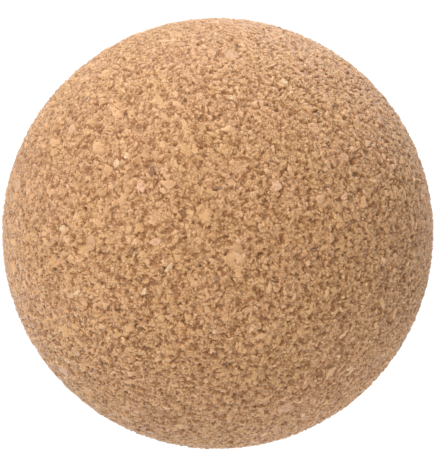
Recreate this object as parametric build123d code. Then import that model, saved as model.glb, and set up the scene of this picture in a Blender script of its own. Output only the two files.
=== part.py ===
from build123d import *
import math
import os
import random

# Cork massage ball. A block of agglomerated cork (granulate and binder pressed together) is turned
# into a ball, so every granule that meets the surface is cut flush with it.
# Frame: the ball's centre is the origin, +Z is up and -Y is the front. Millimetres and degrees.
#
# The fine granulate and its binder are one body, fine_cork_body. The coarse granules that stand out
# from it are separate solids, each seated in a pocket of its own size, grouped by the kind of cork.

# Driving dimensions
BALL_DIAMETER = 65.0
GRANULE_GAP = 0.5          # fine cork left between neighbouring coarse granules
GRANULE_DEPTH = 0.75       # how deep a granule sits, as a share of its width
GRANULE_TAPER = 0.7        # size of a granule's inner face, as a share of its outline
LEAST_DEPTH = 0.7
SEED = 66

BALL_RADIUS = BALL_DIAMETER / 2
OVERRUN = 0.4              # the uncut chip stands this far out of the ball before turning

# Each kind of granule: how many, the range of its width, and the range of its length over its width.
KINDS = {
    "pale_cork_granules": {"count": 30, "width": (1.2, 2.2), "slenderness": (1.0, 1.6)},
    "tan_cork_granules": {"count": 36, "width": (1.5, 2.9), "slenderness": (1.0, 1.4)},
    "rosy_cork_granules": {"count": 18, "width": (1.3, 2.3), "slenderness": (1.0, 1.3)},
    "honey_cork_granules": {"count": 24, "width": (1.2, 2.2), "slenderness": (1.0, 1.6)},
    "bark_granules": {"count": 42, "width": (0.6, 1.3), "slenderness": (1.0, 1.8)},
    "lenticel_slivers": {"count": 24, "width": (0.4, 0.6), "slenderness": (2.6, 4.2)},
}

# Of these kinds, which stand out from the fine cork, the front has only the listed granules.
MARKED_KINDS = ("pale_cork_granules", "rosy_cork_granules", "bark_granules", "lenticel_slivers")
FRONT_LIMIT = -0.15        # the front is where the outward direction's y is below this

# Coarse granules that are listed for the front: (kind, x and z of its middle, length, width, turn of
# the length from level).
FRONT_GRANULES = [
    ("pale_cork_granules", -11.7, 15.7, 1.3, 1.1, -25),
    ("pale_cork_granules", -13.0, 14.7, 1.7, 1.3, 90),
    ("pale_cork_granules", -20.3, 5.9, 1.6, 1.3, 30),
    ("pale_cork_granules", 8.8, 24.7, 1.6, 1.1, -80),
    ("pale_cork_granules", 1.7, 22.9, 1.4, 1.0, -55),
    ("pale_cork_granules", -6.1, 2.4, 2.1, 0.9, 45),
    ("pale_cork_granules", -9.3, -0.9, 1.5, 0.8, 60),
    ("pale_cork_granules", -18.4, -2.2, 2.0, 0.9, 35),
    ("pale_cork_granules", 17.9, -13.9, 1.2, 0.9, 50),
    ("pale_cork_granules", -0.5, -5.9, 0.9, 0.7, 80),
    ("rosy_cork_granules", -9.7, 12.2, 2.3, 1.7, -65),
    ("rosy_cork_granules", 7.4, 12.3, 1.8, 1.7, 75),
    ("rosy_cork_granules", 16.6, 15.2, 1.7, 1.6, 0),
    ("rosy_cork_granules", 16.4, 10.4, 1.6, 1.2, 20),
    ("rosy_cork_granules", -7.9, 5.5, 2.2, 1.3, 10),
    ("rosy_cork_granules", -19.7, 18.2, 2.2, 1.6, -60),
    ("tan_cork_granules", 1.9, 19.9, 1.7, 1.5, -35),
    ("tan_cork_granules", 3.8, -3.1, 1.8, 1.1, 10),
    ("honey_cork_granules", -6.4, 16.9, 1.8, 0.9, 90),
    ("honey_cork_granules", 4.9, 15.1, 0.9, 0.8, 20),
    ("bark_granules", -8.3, 14.0, 1.9, 1.0, -85),
    ("bark_granules", -10.9, 4.2, 1.1, 0.9, 80),
    ("bark_granules", -9.9, 0.6, 1.2, 0.8, 75),
    ("bark_granules", -4.7, 9.3, 1.0, 0.7, 20),
    ("bark_granules", 6.2, 22.1, 1.0, 0.7, 10),
    ("bark_granules", 10.9, -0.4, 0.9, 0.8, 35),
    ("bark_granules", 16.8, 6.4, 0.7, 0.6, 0),
    ("bark_granules", -13.2, 11.5, 0.7, 0.6, 30),
    ("lenticel_slivers", -17.7, 22.2, 3.0, 0.5, 45),
    ("lenticel_slivers", 19.2, 2.8, 1.4, 0.5, 65),
    ("lenticel_slivers", 14.2, 11.7, 1.8, 0.4, -25),
    ("lenticel_slivers", 12.2, 4.2, 1.6, 0.4, -10),
    ("lenticel_slivers", 0.0, 1.1, 1.4, 0.6, -60),
    ("lenticel_slivers", -17.4, -6.1, 2.0, 0.5, 75),
    ("lenticel_slivers", 0.0, 12.2, 1.6, 0.5, 5),
]


def direction(longitude, latitude):
    """The unit vector from the centre through a place on the ball. Longitude 0 is the front, -Y."""
    lon, lat = math.radians(longitude), math.radians(latitude)
    return Vector(math.sin(lon) * math.cos(lat), -math.cos(lon) * math.cos(lat), math.sin(lat))


def tangent_plane(outward, turn):
    """The plane through the centre square to outward, with its x axis turned from level."""
    level = Vector(0, 0, 1).cross(outward).normalized()
    rise = outward.cross(level)
    angle = math.radians(turn)
    return Plane(origin=(0, 0, 0), x_dir=level * math.cos(angle) + rise * math.sin(angle), z_dir=outward)


def front_direction(x, z):
    """The unit vector from the centre through the place on the front that has this x and z."""
    return Vector(x, -math.sqrt(BALL_RADIUS ** 2 - x ** 2 - z ** 2), z).normalized()


def place(kind, outward, length, width, turn):
    """One coarse granule's size and place."""
    return {"kind": kind, "outward": outward, "length": length, "width": width, "turn": turn}


def is_clear(new, placed):
    """True if fine cork is left between the new granule and every one before it."""
    for other in placed:
        reach = (new["length"] + other["length"]) / 2 + GRANULE_GAP
        if (new["outward"] - other["outward"]).length * BALL_RADIUS < reach:
            return False
    return True


def belongs(new):
    """False for a chance granule of a marked kind on the front."""
    return new["kind"] not in MARKED_KINDS or new["outward"].Y > FRONT_LIMIT


def scatter(chance):
    """Every coarse granule: those of the front first, then the rest of each kind at random."""
    placed = [place(kind, front_direction(x, z), *size) for kind, x, z, *size in FRONT_GRANULES]
    for kind, rule in KINDS.items():
        left = rule["count"] - sum(g["kind"] == kind for g in placed)
        while left > 0:
            latitude = math.degrees(math.asin(chance.uniform(-1, 1)))
            width = chance.uniform(*rule["width"])
            length = width * chance.uniform(*rule["slenderness"])
            turn = chance.uniform(0, 180)
            outward = direction(chance.uniform(-180, 180), latitude)
            new = place(kind, outward, length, width, turn)
            if belongs(new) and is_clear(new, placed):
                placed.append(new)
                left -= 1
    return placed


def outline(granule, chance):
    """The corners of a granule's irregular outline, about its own middle."""
    corners = chance.choice((5, 6, 6, 7))
    points = []
    for i in range(corners):
        angle = 2 * math.pi * (i + chance.uniform(-0.26, 0.26)) / corners
        reach = chance.uniform(0.78, 1.0)
        points.append((
            reach * math.cos(angle) * granule["length"] / 2,
            reach * math.sin(angle) * granule["width"] / 2,
        ))
    return points


def chip(granule, chance):
    """The whole flat-sided chip of cork, before turning cuts its outer end off."""
    points = outline(granule, chance)
    depth = max(GRANULE_DEPTH * granule["width"], LEAST_DEPTH)
    plane = tangent_plane(granule["outward"], granule["turn"])
    outer_z, inner_z = BALL_RADIUS + OVERRUN, BALL_RADIUS - depth
    outer = [plane.from_local_coords(Vector(x, y, outer_z)) for x, y in points]
    inner = [
        plane.from_local_coords(Vector(x * GRANULE_TAPER, y * GRANULE_TAPER, inner_z))
        for x, y in points
    ]
    rings = [outer, inner]
    for i in range(len(points)):
        j = (i + 1) % len(points)
        rings.append([outer[i], outer[j], inner[j], inner[i]])
    faces = [Face(Wire.make_polygon(ring, close=True)) for ring in rings]
    return Solid(Shell(faces))


def main():
    chance = random.Random(SEED)
    placed = scatter(chance)
    ball = Solid.make_sphere(BALL_RADIUS, angle1=-90, angle2=90, angle3=360)
    chips = [chip(granule, chance) for granule in placed]

    parts = {kind: [] for kind in KINDS}
    for granule, whole in zip(placed, chips):
        parts[granule["kind"]] += whole.intersect(ball).solids()
    parts["fine_cork_body"] = ball.cut(*chips).solids()

    os.makedirs("parts", exist_ok=True)
    for name, solids in parts.items():
        export_step(Compound(solids), f"parts/{name}.step")
        print(name, len(solids), "solids", round(sum(s.volume for s in solids), 1), "mm3")


main()
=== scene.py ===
import math

import bmesh
import bpy
import numpy as np
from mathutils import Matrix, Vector, geometry, noise


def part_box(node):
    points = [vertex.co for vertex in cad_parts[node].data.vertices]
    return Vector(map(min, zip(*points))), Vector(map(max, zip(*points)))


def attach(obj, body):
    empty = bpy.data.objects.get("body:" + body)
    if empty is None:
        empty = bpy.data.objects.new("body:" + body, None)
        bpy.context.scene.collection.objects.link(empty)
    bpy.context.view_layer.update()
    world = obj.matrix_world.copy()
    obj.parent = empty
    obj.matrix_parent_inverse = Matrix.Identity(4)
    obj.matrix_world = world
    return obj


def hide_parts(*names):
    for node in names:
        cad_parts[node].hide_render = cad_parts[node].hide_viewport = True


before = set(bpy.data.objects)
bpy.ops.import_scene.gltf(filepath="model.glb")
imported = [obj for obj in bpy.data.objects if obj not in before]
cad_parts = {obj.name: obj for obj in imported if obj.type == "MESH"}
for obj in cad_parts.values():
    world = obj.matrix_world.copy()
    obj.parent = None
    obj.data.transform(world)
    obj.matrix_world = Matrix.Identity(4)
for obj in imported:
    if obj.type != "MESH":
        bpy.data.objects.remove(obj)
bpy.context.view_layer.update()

# Cork massage ball: a block of agglomerated cork turned into a ball. The mesh and the material of the
# fine cork read one pattern of granules, so that each granule's colour, edge and level agree. The
# coarse granules are chunks of their own, seated in pockets of the fine cork.

MM = 0.001
LOW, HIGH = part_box("fine_cork_body")
CENTRE = (LOW + HIGH) / 2
RADIUS = (HIGH.z - LOW.z) / 2
RADIUS_MM = RADIUS / MM

# The granulate. Each level is a grade of granule: its size in mm and the share of its cells that stay
# whole; the others are split into the next, finer grade.
GRADES = [(1.3, 0.05), (0.80, 0.28), (0.50, 1.0)]
WARPS = [(0.30, 1.4), (1.1, 0.70), (3.0, 0.30)]      # how the cells are bent: (per mm, mm)
SIDE_PARTS = 5                                        # each side of the cube is cut into so many rows
SPLITS = 6                                            # and each row is halved this often

# Over the fine cork, all in mm: the gaps between granules where it is closed and where it is open, and
# how far the tops of the granules lie from the ball's true surface.
GAP_WIDTH = (0.06, 0.17)
GAP_DEPTH = (0.04, 0.22)
LEVELS = (-0.25, -0.05)
TILT = 0.9                                            # how steeply a granule's top leans
GRAIN_HEIGHT = 0.50                                   # of the torn grain
FINE_GRAIN_HEIGHT = 0.14                              # of the bump that no mesh is fine enough for
TURNED = 0.03                                         # the highest that turning leaves

# Linear colours of the granules, by how often each comes: (up to this share, colour).
TONES = [
    (0.00, (0.47, 0.235, 0.095)),
    (0.12, (0.52, 0.27, 0.11)),
    (0.50, (0.56, 0.30, 0.13)),
    (0.88, (0.60, 0.33, 0.15)),
    (1.00, (0.66, 0.38, 0.19)),
]
# Painted shade and painted highlight: how the colour is darkened at the bottom of a gap and in low grain,
# and lightened and whitened on the top of a granule, as light falls on the relief.
RELIEF_SHADE_AND_HIGHLIGHT = [(0.0, (0.56, 0.375, 0.17)), (0.55, (0.94, 0.88, 0.78)), (1.0, (1.07, 1.15, 1.27))]
# How the granulate's tint drifts across the ball, from golden to rosy.
BATCHES = [(0.0, (1.00, 1.005, 0.955)), (1.0, (1.00, 0.985, 1.01))]
SEAM = (0.19, 0.078, 0.021)                           # binder in the gaps
BARK = (0.27, 0.125, 0.050)                           # small flecks of it in the fine cork
FLECK_SIZE = 0.42                                     # mm
FLECK_SHARE = 0.015                                   # of the places where a fleck could be

# The coarse granules by CAD node: slot, darkest and lightest linear colour.
COARSE = {
    "pale_cork_granules": ("pale_cork", (0.61, 0.395, 0.225), (0.71, 0.49, 0.29)),
    "tan_cork_granules": ("tan_cork", (0.46, 0.243, 0.115), (0.54, 0.300, 0.150)),
    "rosy_cork_granules": ("rosy_cork", (0.55, 0.300, 0.165), (0.62, 0.355, 0.205)),
    "honey_cork_granules": ("honey_cork", (0.46, 0.245, 0.104), (0.54, 0.30, 0.136)),
    "bark_granules": ("bark", (0.22, 0.098, 0.038), (0.34, 0.165, 0.075)),
    "lenticel_slivers": ("lenticel", (0.24, 0.12, 0.06), (0.33, 0.18, 0.10)),
}
# Soft boxes: name, direction from the ball, and power in watts.
SOFT_LIGHTS = [
    ("key", (-0.46, -0.52, 0.75), 3.35),
    ("top", (0.10, 0.35, 0.95), 1.8),
    ("left", (-0.95, 0.10, 0.30), 0.7),
    ("right_back", (0.30, 0.40, 0.90), 1.75),
    ("front", (0.55, -0.75, 0.20), 0.50),
]
LIGHT_SIZE = 0.35                                     # m
LIGHT_DISTANCE = 0.6                                  # m
CAMERA_HEIGHT = 12                                    # degrees above level
CAMERA_DISTANCE = 0.1685                              # m from the ball's centre
POCKET_DEPTH = 0.5                                    # mm, under each coarse granule
SPOKES = 32                                           # corners round a coarse granule's outline


class Net:
    """Adds nodes to one node tree, of geometry or of a material, and links them."""

    def __init__(self, tree):
        self.tree = tree

    def feed(self, socket, value):
        if isinstance(value, bpy.types.NodeSocket):
            self.tree.links.new(value, socket)
        else:
            socket.default_value = value

    def node(self, kind, inputs=None, **settings):
        node = self.tree.nodes.new(kind)
        for name, value in settings.items():
            setattr(node, name, value)
        for key, value in (inputs or {}).items():
            self.feed(node.inputs[key], value)
        return node

    def math(self, operation, *values):
        return self.node("ShaderNodeMath", dict(enumerate(values)), operation=operation).outputs[0]

    def between(self, share, low, high):
        return self.math("MULTIPLY_ADD", share, high - low, low)

    def vector(self, operation, *values):
        node = self.node("ShaderNodeVectorMath", dict(enumerate(values)), operation=operation)
        return node.outputs["Value" if operation in ("DOT_PRODUCT", "LENGTH") else "Vector"]

    def scaled(self, vector, factor):
        node = self.node("ShaderNodeVectorMath", {0: vector, "Scale": factor}, operation="SCALE")
        return node.outputs["Vector"]

    def part(self, vector, axis):
        return self.node("ShaderNodeSeparateXYZ", {0: vector}).outputs[axis]

    def blend(self, share, a, b):
        return self.node("ShaderNodeMix", {0: share, 2: a, 3: b}, data_type="FLOAT").outputs[0]

    def blend_vector(self, share, a, b):
        return self.node("ShaderNodeMix", {0: share, 4: a, 5: b}, data_type="VECTOR").outputs[1]

    def blend_colour(self, share, a, b):
        inputs = {0: share, 6: a, 7: (*b, 1)}
        return self.node("ShaderNodeMix", inputs, data_type="RGBA").outputs[2]

    def ramp(self, value, low, high, start=0.0, end=1.0):
        """A smooth step from start at low to end at high."""
        inputs = {"Value": value, "From Min": low, "From Max": high, "To Min": start, "To Max": end}
        node = self.node("ShaderNodeMapRange", inputs, interpolation_type="SMOOTHSTEP")
        return node.outputs["Result"]

    def noise(self, place, per_mm, detail=0.0, output=0, rough=0.5):
        inputs = {"Vector": place, "Scale": per_mm, "Detail": detail, "Roughness": rough}
        return self.node("ShaderNodeTexNoise", inputs).outputs[output]

    def cells(self, place, size):
        """Random vector, middle, and distance to the edge in mm, of the cell at a place."""
        inputs = {"Vector": place, "Scale": 1 / size}
        cell = self.node("ShaderNodeTexVoronoi", inputs)
        edge = self.node("ShaderNodeTexVoronoi", inputs, feature="DISTANCE_TO_EDGE")
        distance = self.math("MULTIPLY", edge.outputs["Distance"], size)
        return cell.outputs["Color"], cell.outputs["Position"], distance

    def palette(self, value, stops):
        node = self.node("ShaderNodeValToRGB", {0: value})
        ramp = node.color_ramp
        while len(ramp.elements) < len(stops):
            ramp.elements.new(0.5)
        for element, (at, colour) in zip(ramp.elements, stops):
            element.position = at
            element.color = (*colour, 1)
        return node.outputs["Color"]


def worn_grain(net, place):
    """The rough, torn grain of turned cork: its height in mm."""
    grain = net.noise(place, 3.9, 3.0, rough=0.6)
    return net.math("MULTIPLY", net.math("SUBTRACT", grain, 0.5), GRAIN_HEIGHT)


def turned_off(net, height):
    """What turning leaves of a height in mm: nothing stands out of the ball."""
    return net.math("SMOOTH_MIN", height, TURNED, 0.08)


def granulate(net, place):
    """The fine cork at a place in mm: its granule's random vector, gap, and height over the ball in mm."""
    bent = place
    for per_mm, amount in WARPS:
        wave = net.vector("SUBTRACT", net.noise(place, per_mm, output=1), (0.5, 0.5, 0.5))
        bent = net.vector("ADD", bent, net.scaled(wave, amount))
    chance = middle = edge = None
    for size, kept in reversed(GRADES):
        cell_chance, cell_middle, cell_edge = net.cells(bent, size)
        if chance is None:
            chance, middle, edge = cell_chance, cell_middle, cell_edge
            continue
        whole = net.math("LESS_THAN", net.part(cell_chance, 0), kept)
        chance = net.blend_vector(whole, chance, cell_chance)
        middle = net.blend_vector(whole, middle, cell_middle)
        edge = net.math("MINIMUM", cell_edge, net.math("MULTIPLY_ADD", whole, 9.0, edge))
    arm = net.vector("SUBTRACT", bent, middle)
    lean = net.vector("SUBTRACT", chance, (0.5, 0.5, 0.5))
    tilt = net.vector("DOT_PRODUCT", arm, lean)
    openness = net.ramp(net.noise(place, 1.3, 1.0), 0.42, 0.68)
    width = net.between(openness, *GAP_WIDTH)
    gap = net.math("SUBTRACT", 1.0, net.ramp(edge, 0.0, width))
    level = net.between(net.part(chance, 1), *LEVELS)
    top = net.math("MULTIPLY_ADD", tilt, TILT, level)
    depth = net.between(openness, *GAP_DEPTH)
    wear = net.math("SUBTRACT", worn_grain(net, place), net.math("MULTIPLY", gap, depth))
    return chance, gap, wear, turned_off(net, net.math("ADD", top, wear))


def new_relief(name):
    """A geometry node tree, its net and the socket of the mesh that comes in."""
    tree = bpy.data.node_groups.new(name, "GeometryNodeTree")
    tree.interface.new_socket("Geometry", in_out="INPUT", socket_type="NodeSocketGeometry")
    tree.interface.new_socket("Geometry", in_out="OUTPUT", socket_type="NodeSocketGeometry")
    net = Net(tree)
    return tree, net, net.node("NodeGroupInput").outputs[0]


def ball_relief():
    """Halves a cube's faces, rounds it into the ball and raises the granules."""
    tree, net, start = new_relief("ball_relief")
    split = net.node("GeometryNodeSubdivideMesh", {0: start, "Level": SPLITS}).outputs[0]
    corner = net.node("GeometryNodeInputPosition").outputs[0]
    outward = net.vector("NORMALIZE", net.vector("TANGENT", net.scaled(corner, math.pi / 4)))
    _, _, _, height = granulate(net, net.scaled(outward, RADIUS_MM))
    place = net.scaled(outward, net.math("MULTIPLY_ADD", height, MM, RADIUS))
    placed = net.node("GeometryNodeSetPosition", {0: split, "Position": place}).outputs[0]
    net.node("NodeGroupOutput", {0: placed})
    return tree


def chunk_relief():
    """Roughens the tops of coarse granules as the fine cork is, and leaves their walls as they are."""
    tree, net, start = new_relief("chunk_relief")
    corner = net.node("GeometryNodeInputPosition").outputs[0]
    outward = net.vector("NORMALIZE", corner)
    reach = net.vector("LENGTH", corner)
    height = net.math("SUBTRACT", worn_grain(net, net.scaled(outward, RADIUS_MM)), 0.03)
    height = turned_off(net, height)
    near_top = net.ramp(reach, RADIUS - 0.5 * MM, RADIUS - 0.1 * MM)
    move = net.math("MULTIPLY", near_top, net.math("MULTIPLY", height, MM))
    moved = {0: start, "Offset": net.scaled(outward, move)}
    net.node("NodeGroupOutput", {0: net.node("GeometryNodeSetPosition", moved).outputs[0]})
    return tree


def shaped(piece, tree):
    """Runs a geometry node tree on a piece and keeps the result as its mesh."""
    modifier = piece.modifiers.new("relief", "NODES")
    modifier.node_group = tree
    rough = piece.data
    name = rough.name
    finished = piece.evaluated_get(bpy.context.evaluated_depsgraph_get())
    mesh = bpy.data.meshes.new_from_object(finished)
    piece.modifiers.clear()
    piece.data = mesh
    bpy.data.meshes.remove(rough)
    mesh.name = name
    mesh.polygons.foreach_set("use_smooth", [True] * len(mesh.polygons))
    return mesh


def loose_parts(mesh):
    """The corners of each separate solid in a CAD node's mesh, one array each."""
    corners = np.empty(len(mesh.vertices) * 3)
    mesh.vertices.foreach_get("co", corners)
    corners, index = np.unique(corners.reshape(-1, 3).round(7), axis=0, return_inverse=True)
    ends = np.empty(len(mesh.edges) * 2, int)
    mesh.edges.foreach_get("vertices", ends)
    a, b = index.ravel()[ends].reshape(-1, 2).T
    label = np.arange(len(corners))
    while (label[a] != label[b]).any():
        lower = np.minimum(label[a], label[b])
        np.minimum.at(label, a, lower)
        np.minimum.at(label, b, lower)
    return [corners[label == value] for value in np.unique(label)]


class Granule:
    """One coarse granule's place, its outline on the ball's surface, and its depth."""

    def __init__(self, corners):
        self.outward = corners.mean(0) / np.linalg.norm(corners.mean(0))
        helper = (0, 0, 1) if abs(self.outward[2]) < 0.9 else (1, 0, 0)
        self.east = np.cross(helper, self.outward)
        self.east /= np.linalg.norm(self.east)
        self.north = np.cross(self.outward, self.east)
        flat = np.stack([corners @ self.east, corners @ self.north], 1)
        rim = flat[geometry.convex_hull_2d([Vector(p) for p in flat])]
        self.middle = rim.mean(0)
        rim = rim - self.middle
        side = np.roll(rim, -1, 0) - rim
        normal = np.stack([side[:, 1], -side[:, 0]], 1)
        normal /= np.linalg.norm(normal, axis=1)[:, None]
        away = (normal * rim).sum(1)
        turn = np.where(away < 0, -1, 1)
        self.normal, self.away = normal * turn[:, None], np.abs(away)
        self.depth = RADIUS - (corners @ self.outward).min()
        self.overlap = 0.25 * self.away.min() / MM
        self.seed = Vector(self.outward * 40)
        self.lean = [0.16 * noise.noise(self.seed * 1.7), 0.16 * noise.noise(self.seed * 2.3)]
        self.level = 0.06 * noise.noise(self.seed * 2.9) - 0.08

    def reach(self, angle):
        """How far the outline is from its middle at each angle: about the solid's, worn and chipped."""
        ray = np.stack([np.cos(angle), np.sin(angle)], -1)
        share = np.clip(ray @ self.normal.T, 0, None) / self.away
        reach = (share ** 20).sum(-1) ** (-1 / 20)
        steps = np.arange(-0.1, 2 * math.pi + 0.1, 0.1)
        wave = [self.wave(a) for a in steps]
        return reach * (1.08 + np.interp(angle % (2 * math.pi), steps, wave))

    def wave(self, angle):
        """How much the outline is chipped in or out at one angle, as a share of its reach."""
        ring = Vector((math.cos(angle), math.sin(angle), 0))
        return 0.16 * noise.noise(self.seed + ring * 1.6) + 0.14 * noise.noise(self.seed - ring * 4.0)

    def edge_distance(self, points):
        """How far points are outside the outline, measured from its middle; negative inside."""
        flat = np.stack([points @ self.east, points @ self.north], 1) - self.middle
        return np.linalg.norm(flat, axis=1) - self.reach(np.arctan2(flat[:, 1], flat[:, 0]))

    def mesh(self):
        """Corners and faces of the closed chunk: a worn top, rounded edges, a tapered wall and a floor."""
        angle = np.arange(SPOKES) * 2 * math.pi / SPOKES
        reach = self.reach(angle)
        rings = [(share, 0.0) for share in (0.12, 0.25, 0.38, 0.50, 0.61, 0.71, 0.80)]
        rings += [(0.88, 0.02), (0.94, 0.06), (0.98, 0.13), (1.0, 0.24)]
        rings += [(0.96, 0.50), (0.86, 0.80), (0.76, 0.97), (0.45, 1.0)]
        corners = [self.place(np.zeros(1), np.zeros(1), 0.0)]
        for share, sunk in rings:
            x, y = share * reach * np.cos(angle), share * reach * np.sin(angle)
            corners.append(self.place(x, y, sunk))
        corners.append(self.place(np.zeros(1), np.zeros(1), 1.0))
        faces = []
        for i in range(SPOKES):
            j = (i + 1) % SPOKES
            faces.append((0, 1 + i, 1 + j))
            for ring in range(len(rings) - 1):
                a, b = 1 + ring * SPOKES, 1 + (ring + 1) * SPOKES
                faces.append((a + i, b + i, b + j, a + j))
            last = 1 + (len(rings) - 1) * SPOKES
            faces.append((last + i, last + SPOKES, last + j))
        return np.concatenate(corners), faces

    def place(self, x, y, sunk):
        """Points on the ball at x, y from the granule's middle, sunk by a share of its depth."""
        x, y = x + self.middle[0], y + self.middle[1]
        height = np.sqrt(RADIUS ** 2 - x ** 2 - y ** 2)
        points = x[:, None] * self.east + y[:, None] * self.north + height[:, None] * self.outward
        outward = points / RADIUS
        lean = (x - self.middle[0]) * self.lean[0] + (y - self.middle[1]) * self.lean[1]
        level = self.level + lean / MM
        drop = sunk * (self.depth * 0.92)
        return points + outward * (level * MM - drop)[:, None]


def new_object(name, data):
    thing = bpy.data.objects.new(name, data)
    bpy.context.scene.collection.objects.link(thing)
    return thing


def mesh_object(name, corners, faces):
    mesh = bpy.data.meshes.new(name)
    mesh.from_pydata(corners.tolist(), [], faces)
    mesh.update()
    return new_object(name, mesh)


def store(mesh, name, values):
    """Keeps a number for each corner of a mesh, for its material."""
    mesh.attributes.new(name, "FLOAT", "POINT").data.foreach_set("value", values)


def stand_for(piece, node, material):
    piece.data.materials.append(material)
    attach(piece, "root")
    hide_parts(node)


def fine_cork_piece(granules):
    """The ball of fine cork, with a pocket under each coarse granule."""
    block = bmesh.new()
    bmesh.ops.create_cube(block, size=2)
    bmesh.ops.subdivide_edges(block, edges=block.edges, cuts=SIDE_PARTS - 1, use_grid_fill=True)
    piece = new_object("fine_cork", bpy.data.meshes.new("fine_cork"))
    block.to_mesh(piece.data)
    block.free()
    mesh = shaped(piece, ball_relief())
    points = np.empty(len(mesh.vertices) * 3)
    mesh.vertices.foreach_get("co", points)
    points = points.reshape(-1, 3)
    outward = points / np.linalg.norm(points, axis=1)[:, None]
    pocket = np.zeros(len(points))
    for granule in granules:
        near = np.flatnonzero(outward @ granule.outward > math.cos(3.0 / RADIUS_MM))
        distance = granule.edge_distance(outward[near] * RADIUS) / MM
        sunk = np.clip((-granule.overlap - distance) / 0.2, 0, 1)
        pocket[near] = np.maximum(pocket[near], sunk)
    floor = RADIUS - POCKET_DEPTH * MM
    reach = np.linalg.norm(points, axis=1)
    reach = np.where(pocket > 0, reach + (np.minimum(reach, floor) - reach) * pocket, reach)
    mesh.vertices.foreach_set("co", (outward * reach[:, None]).ravel())
    store(mesh, "pocket", pocket)
    mesh.update()
    stand_for(piece, "fine_cork_body", fine_cork_material())
    return piece


def new_material(name):
    material = bpy.data.materials.new(name)
    material.use_nodes = True
    material.node_tree.nodes.clear()
    return material, Net(material.node_tree)


def finish_material(net, place, colour, roughness):
    """Matt cork: a little gloss and a dusty sheen at the edges, over a fine bump."""
    height = net.math("MULTIPLY", net.noise(place, 5.0, 3.0), FINE_GRAIN_HEIGHT * MM)
    bump = net.node("ShaderNodeBump", {"Strength": 1.0, "Distance": 1.0, "Height": height})
    shader = net.node("ShaderNodeBsdfPrincipled", {
        "Base Color": colour,
        "Roughness": roughness,
        "Specular IOR Level": 0.5,
        "Sheen Weight": 0.45,
        "Sheen Roughness": 0.35,
        "Normal": bump.outputs["Normal"],
    })
    net.node("ShaderNodeOutputMaterial", {"Surface": shader.outputs[0]})


def fine_cork_material():
    material, net = new_material("fine_cork")
    outward = net.vector("NORMALIZE", net.node("ShaderNodeTexCoord").outputs["Object"])
    place = net.scaled(outward, RADIUS_MM)
    chance, gap, wear, _ = granulate(net, place)
    colour = net.palette(net.part(chance, 2), TONES)
    grain = net.noise(place, 5.0, 2.0)
    # Painted shade in the gaps and low grain, and painted highlight on the granules' tops, set by the
    # relief's height.
    shade = net.ramp(wear, -0.26, 0.06)
    shade_and_highlight = net.palette(shade, RELIEF_SHADE_AND_HIGHLIGHT)
    colour = net.vector("MULTIPLY", colour, shade_and_highlight)
    batch = net.ramp(net.noise(place, 0.16, 2.0), 0.36, 0.64)
    colour = net.vector("MULTIPLY", colour, net.palette(batch, BATCHES))
    fleck_chance, _, _ = net.cells(place, FLECK_SIZE)
    fleck = net.math("GREATER_THAN", net.part(fleck_chance, 0), 1 - FLECK_SHARE)
    colour = net.blend_colour(net.math("MULTIPLY", fleck, 0.6), colour, BARK)
    pocket = net.node("ShaderNodeAttribute", attribute_name="pocket").outputs["Fac"]
    darkness = net.ramp(net.noise(place, 1.9, 1.0), 0.40, 0.62, 0.36, 0.74)
    seam = net.math("MAXIMUM", net.math("MULTIPLY", gap, darkness), net.ramp(pocket, 0.1, 1.0, 0.0, 0.5))
    colour = net.blend_colour(seam, colour, SEAM)
    finish_material(net, place, colour, net.between(grain, 0.52, 0.72))
    return material


def coarse_material(name, dark, light):
    material, net = new_material(name)
    outward = net.vector("NORMALIZE", net.node("ShaderNodeTexCoord").outputs["Object"])
    place = net.scaled(outward, RADIUS_MM)
    tone = net.node("ShaderNodeAttribute", attribute_name="tone").outputs["Fac"]
    grain = net.noise(place, 5.0, 2.0)
    tone = net.math("ADD", tone, net.ramp(grain, 0.3, 0.7, -0.25, 0.25))
    colour = net.palette(tone, [(0.0, dark), (1.0, light)])
    # Painted shade in the low grain, and painted highlight on the tops of the coarse granules, set by the
    # grain's height.
    shade = net.ramp(worn_grain(net, place), -0.16, 0.07)
    colour = net.vector("MULTIPLY", colour, net.palette(shade, RELIEF_SHADE_AND_HIGHLIGHT))
    wall = net.node("ShaderNodeAttribute", attribute_name="wall").outputs["Fac"]
    colour = net.blend_colour(net.math("MULTIPLY", wall, 0.6), colour, SEAM)
    finish_material(net, place, colour, net.between(grain, 0.50, 0.70))
    return material


def coarse_piece(node, granules, slot, dark, light):
    """All the coarse granules of one kind."""
    corners, faces, tone, wall = [], [], [], []
    count = 0
    for granule in granules:
        new_corners, new_faces = granule.mesh()
        faces += [tuple(count + i for i in face) for face in new_faces]
        count += len(new_corners)
        corners.append(new_corners)
        chance = 0.5 + 1.1 * noise.noise(granule.seed * 3.1)
        tone += [chance] * len(new_corners)
        depth = (RADIUS - np.linalg.norm(new_corners, axis=1)) / MM
        wall.append(np.clip((depth - 0.15) / 0.25, 0, 1))
    piece = mesh_object(slot, np.concatenate(corners), faces)
    shaped(piece, chunk_relief())
    store(piece.data, "tone", tone)
    store(piece.data, "wall", np.concatenate(wall))
    stand_for(piece, node, coarse_material(slot, dark, light))
    return piece


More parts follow.
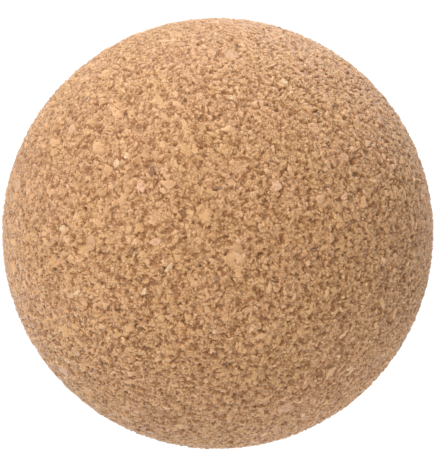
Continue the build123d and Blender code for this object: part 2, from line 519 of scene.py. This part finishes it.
def floor_and_world():
    """A white floor, which lights the ball from below, and a white surround, which hardly does."""
    corners = np.array([(-4, -4, LOW.z), (4, -4, LOW.z), (4, 4, LOW.z), (-4, 4, LOW.z)])
    floor = mesh_object("floor", corners, [(0, 1, 2, 3)])
    material, net = new_material("white_floor")
    seen = net.node("ShaderNodeLightPath").outputs["Is Camera Ray"]
    glow = net.node("ShaderNodeEmission", {"Color": (1, 1, 1, 1), "Strength": net.blend(seen, 1.35, 1.05)})
    net.node("ShaderNodeOutputMaterial", {"Surface": glow.outputs[0]})
    floor.data.materials.append(material)

    world = bpy.data.worlds.new("surround")
    world.use_nodes = True
    world.node_tree.nodes.clear()
    net = Net(world.node_tree)
    seen = net.node("ShaderNodeLightPath").outputs["Is Camera Ray"]
    glow = net.node("ShaderNodeBackground", {"Color": (1, 1, 1, 1), "Strength": net.blend(seen, 0.32, 1.05)})
    net.node("ShaderNodeOutputWorld", {"Surface": glow.outputs[0]})
    bpy.context.scene.world = world


def soft_lights():
    """Soft boxes: the key at the upper left in front, a weak one low in front, and three further back."""
    for name, towards, watts in SOFT_LIGHTS:
        data = bpy.data.lights.new(name, "AREA")
        data.size = LIGHT_SIZE
        data.energy = watts
        lamp = new_object(name, data)
        towards = Vector(towards).normalized()
        lamp.location = CENTRE + towards * LIGHT_DISTANCE
        lamp.rotation_euler = towards.to_track_quat("Z", "Y").to_euler()


def camera():
    """In front and a little above, close enough that the ball fills the picture."""
    data = bpy.data.cameras.new("camera")
    data.lens = 85
    data.sensor_width = 36
    data.shift_x, data.shift_y = -0.0015, 0.0020
    lens = new_object("camera", data)
    height = math.radians(CAMERA_HEIGHT)
    back = Vector((0, -math.cos(height), math.sin(height)))
    lens.location = CENTRE + back * CAMERA_DISTANCE
    lens.rotation_euler = back.to_track_quat("Z", "Y").to_euler()
    data.clip_start = 0.01
    bpy.context.scene.camera = lens


granules = {node: [Granule(p) for p in loose_parts(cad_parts[node].data)] for node in COARSE}
fine_cork_piece([granule for kind in granules.values() for granule in kind])
for node, (slot, dark, light) in COARSE.items():
    coarse_piece(node, granules[node], slot, dark, light)
floor_and_world()
soft_lights()
camera()
bpy.context.scene.view_settings.view_transform = "Standard"
